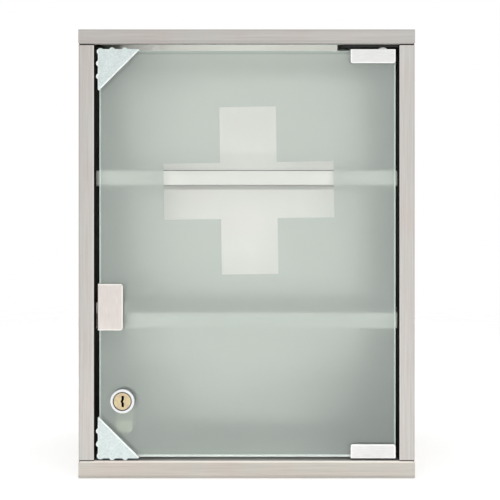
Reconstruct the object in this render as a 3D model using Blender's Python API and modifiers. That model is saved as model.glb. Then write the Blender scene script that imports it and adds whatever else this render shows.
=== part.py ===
"""Wall medicine cabinet: a folded stainless steel case with two shelves behind a frosted glass door.

Metres, +Z up. The front faces -Y, and the origin is the middle of the case's underside.
The door turns on two pivot hinges near its right edge, and a cam lock turns in its lower left corner.
"""

import math

import bmesh
import bpy
from mathutils import Matrix, Vector

MM = 0.001

# Case: the outside sizes, and the sheet that its panels and shelves are folded from
CASE_WIDTH = 300 * MM
CASE_HEIGHT = 400 * MM
CASE_DEPTH = 120 * MM
SHEET = 1.0 * MM
BEND = 0.9 * MM  # radius of a fold at the middle of the sheet
BEND_STEPS = 3
SEAT = 0.3 * MM  # the gap between two pieces that touch

# Frame round the door: the widths of the folded lips, and the depths of their returns
SIDE_LIP = 14.0 * MM
TOP_LIP = 13.8 * MM
BOTTOM_LIP = 15.3 * MM
LIP_SEAM = 0.5 * MM  # the open joint between a side lip and the bars above and below it
SIDE_RETURN = 8.0 * MM
HINGE_RETURN = 20.0 * MM
REAR_FLANGE = 12.0 * MM
CORNER_RELIEF = 0.2 * MM  # how far the full width of the bars' sheet runs behind their fold

# Back panel: keyholes to hang it by, and plain holes below them
BACK_CORNER = 2.0 * MM
HANGER_SPREAD = 200 * MM
KEYHOLE_DROP = 42 * MM
KEYHOLE_HEAD = 9.0 * MM
KEYHOLE_SLOT = 5.0 * MM
KEYHOLE_RUN = 8.0 * MM
STEADY_HOLE = 5.0 * MM
STEADY_HOLE_RISE = 35 * MM

# Shelves
UPPER_SHELF_TOP = 276.0 * MM
LOWER_SHELF_TOP = 144.7 * MM
SHELF_SETBACK = 18.0 * MM
SHELF_APRON = 14.6 * MM
SHELF_HEM = 8.0 * MM
SHELF_END = 12.0 * MM

# Door glass, and the gaps round it to the lips
DOOR_GAP_LEFT = 4.4 * MM
DOOR_GAP_RIGHT = 3.0 * MM
DOOR_GAP_TOP = 5.1 * MM
DOOR_GAP_BOTTOM = 3.1 * MM
GLASS = 5.0 * MM
GLASS_SETBACK = 1.8 * MM
GLASS_CORNER = 2.0 * MM
GLASS_ARRIS = 0.5 * MM

# Hinges: a clamp on the glass, and a bracket under the case's return flange
CLAMP_WALL = 1.2 * MM
CLAMP_LENGTH = 40.0 * MM
CLAMP_HEIGHT = 13.0 * MM
CLAMP_CORNER = 2.0 * MM
CLAMP_FROM_EDGE = 0.3 * MM
CLAMP_PAD = 1.5 * MM
CLAMP_PAD_MARGIN = 1.6 * MM
CLAMP_GRUB_LENGTH = 2.4 * MM
CLAMP_GRUB_SPREAD = 20.0 * MM
CLIP_FOLD = 0.6  # a clip's fold radius at the middle of its wall, as a share of the wall
PIVOT_FROM_EDGE = 11.0 * MM
PIN_DIAMETER = 4.0 * MM
BUSH_WALL = 0.7 * MM
BUSH_COLLAR = 8.0 * MM
BUSH_PROUD = 1.0 * MM
BRACKET = 2.0 * MM
BRACKET_DEPTH = 16.0 * MM
BRACKET_LENGTH = 53.4 * MM
BRACKET_BEHIND_FRONT = 0.6 * MM
BRACKET_CORNER = 1.0 * MM
BRACKET_SCREW_IN = 5.4 * MM

# Bracket screw and nut, and the grub screws of the clamps and the handle
SCREW_SHANK = 4.0 * MM
SCREW_HEAD = 9.2 * MM
SCREW_HEAD_HEIGHT = 1.9 * MM
SCREW_PAST_NUT = 1.0 * MM
NUT_ACROSS = 7.0 * MM
NUT_HEIGHT = 3.0 * MM
GRUB_DIAMETER = 4.0 * MM
GRUB_SOCKET = 2.0 * MM
GRUB_SOCKET_DEPTH = 0.5  # as a share of the screw's length

# Handle clip over the free edge of the glass
HANDLE_LENGTH = 22.8 * MM
HANDLE_HEIGHT = 41.5 * MM
HANDLE_BOTTOM = 131.4 * MM
HANDLE_WALL = 1.2 * MM
HANDLE_CORNER = 3.0 * MM
HANDLE_PAD = 0.8 * MM
HANDLE_PAD_MARGIN = 2.0 * MM
HANDLE_GRUB_SPREAD = 29.0 * MM

# Magnetic catch on the lower shelf
CATCH_LENGTH = 28.0 * MM
CATCH_FROM_HANDLE = 1.6 * MM  # how far it passes the handle's free end
CATCH_HEIGHT = 10.0 * MM
CATCH_DEPTH = 17.0 * MM
CATCH_FOOT = 6.5 * MM
CATCH_FOOT_HEIGHT = 2.6 * MM
CATCH_ROUNDING = 0.6 * MM
MAGNET_LENGTH = 18.0 * MM
MAGNET_HEIGHT = 3.4 * MM
MAGNET_DEPTH = 7.0 * MM
POLE = 1.0 * MM
CATCH_SCREW_HEAD = 5.4 * MM
CATCH_SCREW_HEAD_HEIGHT = 1.6 * MM
CATCH_SCREW_SHANK = 3.0 * MM
CATCH_SCREW_LENGTH = 6.0 * MM
CATCH_SCREW_SPREAD = 18.0 * MM

# Lock
LOCK_FROM_EDGE = 21.0 * MM
LOCK_HEIGHT = 68.5 * MM
BEZEL_DIAMETER = 22.0 * MM
BEZEL_HEIGHT = 2.6 * MM
BEZEL_ROUNDING = 0.9 * MM
BARREL_DIAMETER = 17.4 * MM
BARREL_BEHIND_GLASS = 9.2 * MM
PLUG_FACE = 15.8 * MM
PLUG_FACE_HEIGHT = 2.0 * MM
PLUG_SHANK = 12.0 * MM
TAIL = 6.0 * MM
KEYWAY_HEIGHT = 10.0 * MM
KEYWAY_WIDTH = 2.2 * MM
KEYWAY_STEP = 0.9 * MM
KEYWAY_DEPTH = 8.0 * MM
LOCK_WASHER = 1.0 * MM
LOCK_WASHER_DIAMETER = 23.0 * MM
LOCK_NUT_ACROSS = 22.0 * MM
LOCK_NUT_HEIGHT = 3.5 * MM
CAM_SHEET = 1.8 * MM
CAM_WIDTH = 15.0 * MM
CAM_REACH = 30.0 * MM
CAM_JOG_FROM = 14.0 * MM
CAM_JOG_TO = 20.0 * MM
CAM_JOG = 8.2 * MM
CAM_CORNER = 2.5 * MM
CAM_SCREW_HEAD = 7.0 * MM
CAM_SCREW_HEAD_HEIGHT = 2.0 * MM
CAM_SCREW_SHANK = 3.0 * MM
CAM_SCREW_LENGTH = 5.0 * MM
CAM_WASHER_DIAMETER = 10.0 * MM
CAM_WASHER = 0.8 * MM

# Corner guards on the free corners of the glass
GUARD_LEG = 36.2 * MM
GUARD_WALL = 0.8 * MM
GUARD_PLATE = 1.0 * MM
GUARD_TIP = 0.6 * MM
GUARD_RIM_WIDTH = 1.5 * MM
GUARD_RIM_HEIGHT = 0.4 * MM
GUARD_RIM_INSET = 0.3 * MM
GUARD_BUMP_RADIUS = 2.7 * MM
GUARD_BUMP_PITCH = 11.6 * MM
GUARD_BUMPS = 2  # on each leg, besides the larger one at the corner
GUARD_CORNER_BUMP_RADIUS = 3.2 * MM
GUARD_CORNER_BUMP_INSET = 1.2 * MM

# Small shapes
ARRIS = 0.35 * MM  # the broken edge of a thick metal plate
RECESS_WIDTH = 1.0 * MM
RECESS_DEPTH = 0.9 * MM
ROUND_STEPS = 32
ARC_STEPS = 6
PAST = 2.0 * MM  # how far a cutter runs past what it cuts
SMOOTH_BELOW = math.radians(35)
POINTS_MEET = 1e-6

# What the sizes above give
FRONT = -CASE_DEPTH / 2
BACK = CASE_DEPTH / 2
SIDE = CASE_WIDTH / 2
FOLD = BEND + SHEET / 2  # from a flange's outer face to where its fold starts
INNER_SIDE = SIDE - SHEET - SEAT
REAR_SEAT = BACK - SHEET - SEAT  # the rear flanges' outer face, against the back panel
TOP_LIP_EDGE = CASE_HEIGHT - TOP_LIP
BOTTOM_LIP_EDGE = BOTTOM_LIP
DOOR_LEFT = -SIDE + SIDE_LIP + DOOR_GAP_LEFT
DOOR_RIGHT = SIDE - SIDE_LIP - DOOR_GAP_RIGHT
DOOR_TOP = TOP_LIP_EDGE - DOOR_GAP_TOP
DOOR_BOTTOM = BOTTOM_LIP_EDGE + DOOR_GAP_BOTTOM
GLASS_FRONT = FRONT + GLASS_SETBACK
GLASS_BACK = GLASS_FRONT + GLASS
CLAMP_FRONT = GLASS_FRONT - SEAT - CLAMP_WALL
CLAMP_BACK = GLASS_BACK + 2 * SEAT + CLAMP_PAD + CLAMP_WALL
CLAMP_RIGHT = DOOR_RIGHT - CLAMP_FROM_EDGE
CLAMP_MIDDLE = CLAMP_RIGHT - CLAMP_LENGTH / 2
PIVOT_X = DOOR_RIGHT - PIVOT_FROM_EDGE
PIVOT_Y = (CLAMP_FRONT + CLAMP_BACK) / 2
PIN_BORE = PIN_DIAMETER + 2 * SEAT
BUSH_OUTER = PIN_BORE + 2 * BUSH_WALL
GRUB_HOLE_REACH = max(CLAMP_WALL, HANDLE_WALL) + SEAT
HANDLE_LEFT = DOOR_LEFT - SEAT - HANDLE_WALL
HANDLE_RIGHT = HANDLE_LEFT + HANDLE_LENGTH
HANDLE_BACK = GLASS_BACK + 2 * SEAT + HANDLE_PAD + HANDLE_WALL
LOCK_X = DOOR_LEFT + LOCK_FROM_EDGE
LOCK_CENTRE = Vector((LOCK_X, 0, LOCK_HEIGHT))


def clear_scene():
    for obj in list(bpy.data.objects):
        bpy.data.objects.remove(obj, do_unlink=True)


def new_collection(name):
    collection = bpy.data.collections.new(name)
    bpy.context.scene.collection.children.link(collection)
    return collection


def new_material(name, colour, roughness, metallic=0.0, transmission=0.0):
    material = bpy.data.materials.new(name)
    material.use_nodes = True
    shader = material.node_tree.nodes["Principled BSDF"]
    shader.inputs["Base Color"].default_value = (*colour, 1.0)
    shader.inputs["Roughness"].default_value = roughness
    shader.inputs["Metallic"].default_value = metallic
    shader.inputs["Transmission Weight"].default_value = transmission
    material.diffuse_color = (*colour, 1.0)
    return material


clear_scene()
PARTS = new_collection("medicine_cabinet")
CUTTERS = new_collection("cutters")

STEEL = new_material("stainless_steel", (0.58, 0.55, 0.52), 0.32, metallic=1.0)
DARK_STEEL = new_material("blackened_steel", (0.03, 0.03, 0.03), 0.45, metallic=0.6)
CHROME = new_material("chrome", (0.83, 0.83, 0.82), 0.1, metallic=1.0)
BRASS = new_material("brass", (0.80, 0.62, 0.33), 0.22, metallic=1.0)
FROSTED = new_material("frosted_glass", (0.80, 0.88, 0.84), 0.4, transmission=1.0)
CLEAR_PLASTIC = new_material("milky_plastic", (0.78, 0.86, 0.85), 0.3, transmission=0.3)
WHITE_PLASTIC = new_material("white_plastic", (0.85, 0.85, 0.83), 0.4)
NYLON = new_material("nylon", (0.75, 0.74, 0.70), 0.45)
RUBBER = new_material("rubber", (0.04, 0.04, 0.04), 0.8)
FERRITE = new_material("ferrite", (0.05, 0.05, 0.055), 0.6)


# Placing objects


def add_object(name, mesh, material, collection=None):
    obj = bpy.data.objects.new(name, mesh)
    if material:
        mesh.materials.append(material)
    (collection or PARTS).objects.link(obj)
    return obj


def hide_as_cutter(obj):
    for collection in list(obj.users_collection):
        collection.objects.unlink(obj)
    CUTTERS.objects.link(obj)
    obj.hide_render = True
    obj.display_type = "WIRE"
    return obj


def boolean(obj, other, operation):
    modifier = obj.modifiers.new(operation.lower(), "BOOLEAN")
    modifier.operation = operation
    modifier.object = hide_as_cutter(other)
    modifier.solver = "EXACT"


def cut(obj, *cutters):
    for cutter in cutters:
        boolean(obj, cutter, "DIFFERENCE")


def join(obj, *others):
    for other in others:
        boolean(obj, other, "UNION")


def bevel(obj, width, segments=2, above=math.radians(40)):
    modifier = obj.modifiers.new("broken edges", "BEVEL")
    modifier.width = width
    modifier.segments = segments
    modifier.limit_method = "ANGLE"
    modifier.angle_limit = above


def mesh_from(name, bm):
    mesh = bpy.data.meshes.new(name)
    bm.to_mesh(mesh)
    bm.free()
    return mesh


def to_mesh_object(obj):
    """The object with its shape as evaluated now: a curve becomes a mesh, and its caps are welded."""
    graph = bpy.context.evaluated_depsgraph_get()
    mesh = bpy.data.meshes.new_from_object(obj.evaluated_get(graph))
    bm = bmesh.new()
    bm.from_mesh(mesh)
    bmesh.ops.remove_doubles(bm, verts=bm.verts, dist=POINTS_MEET)
    bm.to_mesh(mesh)
    bm.free()
    name, place, collections = obj.name, obj.matrix_world.copy(), list(obj.users_collection)
    bpy.data.objects.remove(obj, do_unlink=True)
    made = bpy.data.objects.new(name, mesh)
    made.matrix_world = place
    for collection in collections:
        collection.objects.link(made)
    return made


# Solids


def block(name, low, high, material=None):
    """A box between two corners, with its origin at its middle."""
    low, high = Vector(low), Vector(high)
    bm = bmesh.new()
    bmesh.ops.create_cube(bm, size=1.0)
    bmesh.ops.scale(bm, vec=high - low, verts=bm.verts)
    obj = add_object(name, mesh_from(name, bm), material)
    obj.location = (low + high) / 2
    return obj


def rod(name, centre, axis, radius, length, material=None, steps=ROUND_STEPS):
    """A cylinder, or a prism of few steps, about a point and along +X, +Y or +Z."""
    bm = bmesh.new()
    bmesh.ops.create_cone(
        bm, cap_ends=True, segments=steps, radius1=radius, radius2=radius, depth=length
    )
    obj = add_object(name, mesh_from(name, bm), material)
    obj.location = centre
    obj.rotation_euler = Vector((0, 0, 1)).rotation_difference(Vector(axis)).to_euler()
    return obj


def turned(name, profile, origin, towards, material, closed=False, steps=ROUND_STEPS):
    """A profile of (radius, height) points, run down its outer side and turned about the towards axis."""
    bm = bmesh.new()
    points = [bm.verts.new((radius, 0, height)) for radius, height in profile]
    for first, second in zip(points, points[1:] + points[:1] * closed):
        bm.edges.new((first, second))
    obj = add_object(name, mesh_from(name, bm), material)
    obj.location = origin
    obj.rotation_euler = Vector((0, 0, 1)).rotation_difference(Vector(towards)).to_euler()
    screw = obj.modifiers.new("turn", "SCREW")
    screw.steps = steps
    screw.render_steps = steps
    screw.use_merge_vertices = True
    screw.merge_threshold = POINTS_MEET
    return obj


def ring(name, inner, outer, low, high, origin, towards, material):
    profile = [(inner, high), (outer, high), (outer, low), (inner, low)]
    return turned(name, profile, origin, towards, material, closed=True)


def rounded(corners, radii):
    """A closed outline with arcs for corners, of one radius or one each. Radius 0 keeps a sharp corner."""
    if not isinstance(radii, (list, tuple)):
        radii = [radii] * len(corners)
    outline = []

    def add(point):
        if not outline or (point - outline[-1]).length > POINTS_MEET:
            outline.append(point)

    for i, corner in enumerate(corners):
        corner = Vector(corner)
        before = (Vector(corners[i - 1]) - corner).normalized()
        after = (Vector(corners[(i + 1) % len(corners)]) - corner).normalized()
        radius = radii[i]
        if radius <= 0:
            add(corner)
            continue
        half = before.angle(after) / 2
        centre = corner + (before + after).normalized() * radius / math.sin(half)
        start = corner + before * radius / math.tan(half) - centre
        turn = math.pi - 2 * half
        if before.cross(after) > 0:
            turn = -turn
        for step in range(ARC_STEPS + 1):
            add(centre + Matrix.Rotation(turn * step / ARC_STEPS, 2) @ start)
    if (outline[0] - outline[-1]).length < POINTS_MEET:
        outline.pop()
    return outline


def plate(name, outline, facing, middle, thickness, material=None):
    """A flat outline as a plate. Facing Y its points are (x, z), and facing Z they are (x, y)."""
    curve = bpy.data.curves.new(name, "CURVE")
    curve.dimensions = "2D"
    curve.fill_mode = "BOTH"
    curve.extrude = thickness / 2
    spline = curve.splines.new("POLY")
    spline.points.add(len(outline) - 1)
    for point, (u, v) in zip(spline.points, outline):
        point.co = (u, v, 0, 1)
    spline.use_cyclic_u = True
    obj = add_object(name, curve, material)
    if facing == "Y":
        obj.rotation_euler = (math.pi / 2, 0, 0)
        obj.location = (0, middle, 0)
    else:
        obj.location = (0, 0, middle)
    bpy.context.view_layer.update()
    return to_mesh_object(obj)


def rectangle(left, right, bottom, top):
    return [(left, bottom), (right, bottom), (right, top), (left, top)]


# Folded sheet


def sheet_blank(low, high):
    """An open rectangle between two corners that share one coordinate."""
    low, high = Vector(low), Vector(high)
    size = high - low
    flat = min(range(3), key=lambda i: size[i])
    turn = Matrix.Identity(4)
    if flat == 0:
        turn = Matrix.Rotation(math.pi / 2, 4, "Y")
    elif flat == 1:
        turn = Matrix.Rotation(math.pi / 2, 4, "X")
    size[flat] = 1.0
    bm = bmesh.new()
    bmesh.ops.create_grid(bm, x_segments=1, y_segments=1, size=0.5, matrix=turn)
    bmesh.ops.scale(bm, vec=size, verts=bm.verts)
    bmesh.ops.translate(bm, vec=(low + high) / 2, verts=bm.verts)
    return bm


def split(bm, axis, places):
    """Divides the sheet across one axis, where a shorter flange will start or end."""
    normal = Vector((0, 0, 0))
    normal[axis] = 1
    for place in places:
        geometry = bm.verts[:] + bm.edges[:] + bm.faces[:]
        bmesh.ops.bisect_plane(bm, geom=geometry, plane_co=normal * place, plane_no=normal)


def notch(bm, unwanted):
    """Cuts away the faces of the sheet whose middles are unwanted."""
    faces = [face for face in bm.faces if unwanted(face.calc_center_median())]
    bmesh.ops.delete(bm, geom=faces, context="FACES")


def free_edges(bm, axis, place, along=None, between=None):
    """The open edges that lie at a place on one axis, and between two places along another."""
    found = []
    for edge in bm.edges:
        if not edge.is_boundary or any(abs(v.co[axis] - place) > 1e-6 for v in edge.verts):
            continue
        if between and any(not between[0] - 1e-6 < v.co[along] < between[1] + 1e-6 for v in edge.verts):
            continue
        found.append(edge)
    return found


def extrude_edges(bm, edges, move):
    made = bmesh.ops.extrude_edge_only(bm, edges=edges)["geom"]
    points = {item for item in made if isinstance(item, bmesh.types.BMVert)}
    bmesh.ops.translate(bm, verts=list(points), vec=move)
    return [
        item
        for item in made
        if isinstance(item, bmesh.types.BMEdge) and all(v in points for v in item.verts)
    ]


def fold(bm, edges, outward, turn, reach, folded_again=False, radius=BEND):
    """Folds a flange from free edges, and gives its own free edges.

    reach runs from the middle of the first sheet to the flange's free edge, or to the middle of the
    next flange if it is folded again.
    """
    outward, turn = Vector(outward), Vector(turn)
    step = math.pi / 2 / BEND_STEPS
    for i in range(BEND_STEPS):
        ahead = math.sin((i + 1) * step) - math.sin(i * step)
        round_corner = math.cos(i * step) - math.cos((i + 1) * step)
        edges = extrude_edges(bm, edges, radius * (outward * ahead + turn * round_corner))
    flat = reach - radius - (radius if folded_again else 0)
    return extrude_edges(bm, edges, turn * flat)


def sheet_object(name, bm, thickness, material):
    obj = add_object(name, mesh_from(name, bm), material)
    solidify = obj.modifiers.new("sheet", "SOLIDIFY")
    solidify.thickness = thickness
    solidify.offset = 0
    solidify.use_even_offset = True
    solidify.use_quality_normals = True
    return obj


# Fasteners


def pan_screw(name, seat, towards, head, head_height, shank, length, material):
    """A pan head screw. seat is on its axis under the head, and towards points out through the head."""
    crown = head_height * 0.45
    profile = [
        (0, head_height),
        (head * 0.22, head_height),
        (head * 0.38, head_height - crown * 0.35),
        (head * 0.5, head_height - crown),
        (head * 0.5, 0),
        (shank / 2, 0),
        (shank / 2, -length + shank * 0.15),
        (shank * 0.35, -length),
        (0, -length),
    ]
    screw = turned(name, profile, seat, towards, material)
    towards = Vector(towards)
    side = Vector((1, 0, 0))
    other = towards.cross(side)
    middle = Vector(seat) + towards * (head_height - RECESS_DEPTH / 2 + PAST / 2)
    depth = RECESS_DEPTH + PAST
    for i, along in enumerate((side, other)):
        across = other if i == 0 else side
        half = (
            along * head * 0.28 + across * RECESS_WIDTH / 2 + towards * depth / 2
        )
        half = Vector(abs(value) for value in half)
        cut(screw, block(f"{name}_recess_{i}", middle - half, middle + half))
    return screw


def grub_screw(name, place, start, length, owner, owner_back):
    """A headless screw through the back of a clip, at (x, z) and from start. Its socket faces the rear."""
    x, z = place
    screw = rod(name, (x, start + length / 2, z), (0, 1, 0), GRUB_DIAMETER / 2, length, DARK_STEEL, steps=20)
    socket_depth = length * GRUB_SOCKET_DEPTH
    socket = rod(
        f"{name}_socket",
        (x, start + length - socket_depth / 2 + PAST / 2, z),
        (0, 1, 0),
        GRUB_SOCKET / 2,
        socket_depth + PAST,
        steps=6,
    )
    cut(screw, socket)
    hole = rod(f"{name}_hole", (x, owner_back, z), (0, 1, 0), GRUB_DIAMETER / 2 + SEAT, 2 * GRUB_HOLE_REACH)
    cut(owner, hole)
    return screw


def hex_nut(name, centre, axis, across, height, bore, material):
    nut = rod(name, centre, axis, across / math.sqrt(3), height, material, steps=6)
    cut(nut, rod(f"{name}_bore", centre, axis, bore / 2, height + PAST))
    return nut


# Case


def top_or_bottom_panel(name, upper):
    """A panel between the walls, with a full width lip in front, its hinge return, and a rear flange."""
    inward = Vector((0, 0, -1 if upper else 1))
    lip = TOP_LIP if upper else BOTTOM_LIP
    level = CASE_HEIGHT - SHEET / 2 if upper else SHEET / 2
    bm = sheet_blank((-SIDE, FRONT + FOLD, level), (SIDE, REAR_SEAT - FOLD, level))
    rear_end = SIDE - REAR_FLANGE - 2 * SEAT
    relief = FRONT + FOLD + CORNER_RELIEF
    split(bm, 0, (-INNER_SIDE, INNER_SIDE, -rear_end, rear_end))
    split(bm, 1, (relief,))
    notch(bm, lambda middle: abs(middle.x) > INNER_SIDE and middle.y > relief)
    rear = free_edges(bm, 1, REAR_SEAT - FOLD, 0, (-rear_end, rear_end))
    fold(bm, rear, (0, 1, 0), inward, REAR_FLANGE - SHEET / 2)
    front = free_edges(bm, 1, FRONT + FOLD)
    lip_edges = fold(bm, front, (0, -1, 0), inward, lip - SHEET, folded_again=True)
    inner = [e for e in lip_edges if all(abs(v.co.x) < INNER_SIDE + 1e-6 for v in e.verts)]
    fold(bm, inner, inward, (0, 1, 0), HINGE_RETURN - SHEET / 2)
    return sheet_object(name, bm, SHEET, STEEL)


def side_panel(name, side):
    """A full height wall with its lip and return between the bars, and a rear flange. side is -1 or 1."""
    inward = Vector((-side, 0, 0))
    wall = side * (SIDE - SHEET / 2)
    lip_low, lip_high = BOTTOM_LIP_EDGE + LIP_SEAM, TOP_LIP_EDGE - LIP_SEAM
    relief = FRONT + FOLD + CORNER_RELIEF + SEAT
    bm = sheet_blank((wall, FRONT + FOLD, 0), (wall, REAR_SEAT - FOLD, CASE_HEIGHT))
    split(bm, 2, (lip_low, lip_high))
    split(bm, 1, (relief,))
    notch(bm, lambda middle: middle.y < relief and not lip_low < middle.z < lip_high)
    rear = free_edges(bm, 1, REAR_SEAT - FOLD)
    fold(bm, rear, (0, 1, 0), inward, REAR_FLANGE - SHEET / 2)
    front = free_edges(bm, 1, FRONT + FOLD, 2, (lip_low, lip_high))
    lip_edges = fold(bm, front, (0, -1, 0), inward, SIDE_LIP - SHEET, folded_again=True)
    fold(bm, lip_edges, inward, (0, 1, 0), SIDE_RETURN - SHEET / 2)
    return sheet_object(name, bm, SHEET, STEEL)


def back_panel():
    """A flat panel over the rear flanges, with two keyholes above and two plain holes below."""
    outline = rounded(rectangle(-SIDE, SIDE, 0, CASE_HEIGHT), BACK_CORNER)
    middle = BACK - SHEET / 2
    panel = plate("back_panel", outline, "Y", middle, SHEET, STEEL)
    through = SHEET + PAST
    for side in (-1, 1):
        x = side * HANGER_SPREAD / 2
        head_z = CASE_HEIGHT - KEYHOLE_DROP
        slot_z = head_z + KEYHOLE_RUN
        head = rod(f"keyhole_head_{side}", (x, middle, head_z), (0, 1, 0), KEYHOLE_HEAD / 2, through)
        slot_outline = rounded(
            rectangle(x - KEYHOLE_SLOT / 2, x + KEYHOLE_SLOT / 2, head_z, slot_z + KEYHOLE_SLOT / 2),
            [0, 0, KEYHOLE_SLOT / 2, KEYHOLE_SLOT / 2],
        )
        slot = plate(f"keyhole_slot_{side}", slot_outline, "Y", middle, through)
        join(head, slot)
        hole = rod(
            f"steady_hole_{side}", (x, middle, STEADY_HOLE_RISE), (0, 1, 0), STEADY_HOLE / 2, through
        )
        cut(panel, head, hole)
    return panel


def shelf(name, top):
    """A fixed tray shelf: an apron with a hem in front, and flanges down at both ends and at the rear."""
    level = top - SHEET / 2
    front = FRONT + SHELF_SETBACK
    rear = REAR_SEAT - SHEET - SEAT
    end = INNER_SIDE
    down = (0, 0, -1)
    bm = sheet_blank((-end + FOLD, front + FOLD, level), (end - FOLD, rear - FOLD, level))
    apron = fold(
        bm,
        free_edges(bm, 1, front + FOLD),
        (0, -1, 0),
        down,
        SHELF_APRON - SHEET,
        folded_again=True,
    )
    fold(bm, apron, down, (0, 1, 0), SHELF_HEM - SHEET / 2)
    fold(bm, free_edges(bm, 1, rear - FOLD), (0, 1, 0), down, SHELF_END - SHEET / 2)
    for side in (-1, 1):
        edges = free_edges(bm, 0, side * (end - FOLD), 1, (front + FOLD, rear - FOLD))
        edges = [e for e in edges if all(abs(v.co.z - level) < 1e-6 for v in e.verts)]
        fold(bm, edges, (side, 0, 0), down, SHELF_END - SHEET / 2)
    return sheet_object(name, bm, SHEET, STEEL)


# Hinges


def hinge_bracket(low, high):
    """A flat bar with a round end, under the top panel's return: one end for the bush, one for its screw."""
    right = SIDE - SIDE_LIP - 2 * SEAT
    left = right - BRACKET_LENGTH
    near = FRONT + BRACKET_BEHIND_FRONT
    far = near + BRACKET_DEPTH
    outline = rounded(
        [(left, near), (right, near), (right, far), (left, far)],
        [BRACKET_DEPTH / 2, BRACKET_CORNER, BRACKET_CORNER, BRACKET_DEPTH / 2],
    )
    bracket = plate("upper_hinge_bracket", outline, "Z", (low + high) / 2, high - low, DARK_STEEL)
    bevel(bracket, ARRIS)
    return bracket, (left + BRACKET_SCREW_IN, (near + far) / 2)


def bracket_fixing(at, low, high):
    """The pan head screw under the bracket, and its nut on the far side of the return."""
    x, y = at
    length = high - low + SHEET + 3 * SEAT + NUT_HEIGHT + SCREW_PAST_NUT
    screw = pan_screw(
        "upper_hinge_screw",
        (x, y, low - SEAT),
        (0, 0, -1),
        SCREW_HEAD,
        SCREW_HEAD_HEIGHT,
        SCREW_SHANK,
        length,
        DARK_STEEL,
    )
    nut_middle = TOP_LIP_EDGE + SHEET + SEAT + NUT_HEIGHT / 2
    bore = SCREW_SHANK + 2 * SEAT
    nut = hex_nut("upper_hinge_nut", (x, y, nut_middle), (0, 0, 1), NUT_ACROSS, NUT_HEIGHT, bore, DARK_STEEL)
    return [screw, nut]


def clamp_cheeks(name, tip, outer, up):
    """What the clamp keeps: a block as wide as the clamp, with round corners at the cheeks' tips."""
    corners = [
        (CLAMP_RIGHT - CLAMP_LENGTH, tip),
        (CLAMP_RIGHT, tip),
        (CLAMP_RIGHT, outer + up * PAST),
        (CLAMP_RIGHT - CLAMP_LENGTH, outer + up * PAST),
    ]
    outline = rounded(corners, [CLAMP_CORNER, CLAMP_CORNER, 0, 0])
    middle = (CLAMP_FRONT + CLAMP_BACK) / 2
    return plate(name, outline, "Y", middle, CLAMP_BACK - CLAMP_FRONT + PAST)


def hinge_clamp(prefix, up, glass_edge):
    """A U over the edge of the glass, its pad, and the two grub screws that press the pad on the glass."""
    outer = glass_edge + up * (SEAT + CLAMP_WALL)
    web = outer - up * CLAMP_WALL / 2
    left = CLAMP_RIGHT - CLAMP_LENGTH
    front, back = CLAMP_FRONT + CLAMP_WALL / 2, CLAMP_BACK - CLAMP_WALL / 2
    radius = CLAMP_WALL * CLIP_FOLD
    bm = sheet_blank((left, front + radius, web), (CLAMP_RIGHT, back - radius, web))
    inward = (0, 0, -up)
    reach = CLAMP_HEIGHT - CLAMP_WALL / 2
    fold(bm, free_edges(bm, 1, front + radius), (0, -1, 0), inward, reach, radius=radius)
    fold(bm, free_edges(bm, 1, back - radius), (0, 1, 0), inward, reach, radius=radius)
    clamp = sheet_object(f"{prefix}_hinge_clamp", bm, CLAMP_WALL, CHROME)
    tip = outer - up * CLAMP_HEIGHT
    boolean(clamp, clamp_cheeks(f"{prefix}_clamp_outline", tip, outer, up), "INTERSECT")
    pin_place = (PIVOT_X, PIVOT_Y, web)
    pin_hole = rod(f"{prefix}_pin_hole", pin_place, (0, 0, 1), PIN_BORE / 2, CLAMP_WALL + PAST)
    cut(clamp, pin_hole)

    pad_front = GLASS_BACK + SEAT
    pad_back = pad_front + CLAMP_PAD
    pad_low, pad_high = sorted((glass_edge - up * SEAT, tip + up * CLAMP_PAD_MARGIN))
    pad = block(
        f"{prefix}_hinge_pad",
        (left + CLAMP_PAD_MARGIN, pad_front, pad_low),
        (CLAMP_RIGHT - CLAMP_PAD_MARGIN, pad_back, pad_high),
        NYLON,
    )
    pieces = [clamp, pad]
    for label, side in (("left", -1), ("right", 1)):
        place = (CLAMP_MIDDLE + side * CLAMP_GRUB_SPREAD / 2, (pad_low + pad_high) / 2)
        name = f"{prefix}_hinge_grub_{label}"
        pieces.append(grub_screw(name, place, pad_back + SEAT, CLAMP_GRUB_LENGTH, clamp, CLAMP_BACK))
    return pieces


def pivot(prefix, up, glass_edge, seat_face, far_face):
    """The pin on the clamp, and the collared bush that it turns in.

    The collar lies against seat_face, and the bush passes to beyond far_face.
    """
    towards = (0, 0, up)
    axis_at = (PIVOT_X, PIVOT_Y, 0)
    # Heights run along towards, so at the lower hinge they are the world's turned over
    web_face = up * (glass_edge + up * (SEAT + CLAMP_WALL))
    collar_bottom = web_face + SEAT
    collar_top = up * seat_face - SEAT
    bush_top = up * far_face + BUSH_PROUD
    bush = turned(
        f"{prefix}_hinge_bush",
        [
            (PIN_BORE / 2, bush_top),
            (BUSH_OUTER / 2, bush_top),
            (BUSH_OUTER / 2, collar_top),
            (BUSH_COLLAR / 2, collar_top),
            (BUSH_COLLAR / 2, collar_bottom),
            (PIN_BORE / 2, collar_bottom),
        ],
        axis_at,
        towards,
        NYLON,
        closed=True,
    )
    pin_bottom = up * glass_edge + SEAT
    pin_top = bush_top - SEAT
    pin = turned(
        f"{prefix}_hinge_pin",
        [
            (0, pin_top),
            (PIN_DIAMETER / 2 - ARRIS, pin_top),
            (PIN_DIAMETER / 2, pin_top - ARRIS),
            (PIN_DIAMETER / 2, pin_bottom),
            (0, pin_bottom),
        ],
        axis_at,
        towards,
        CHROME,
    )
    return bush, pin


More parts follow.
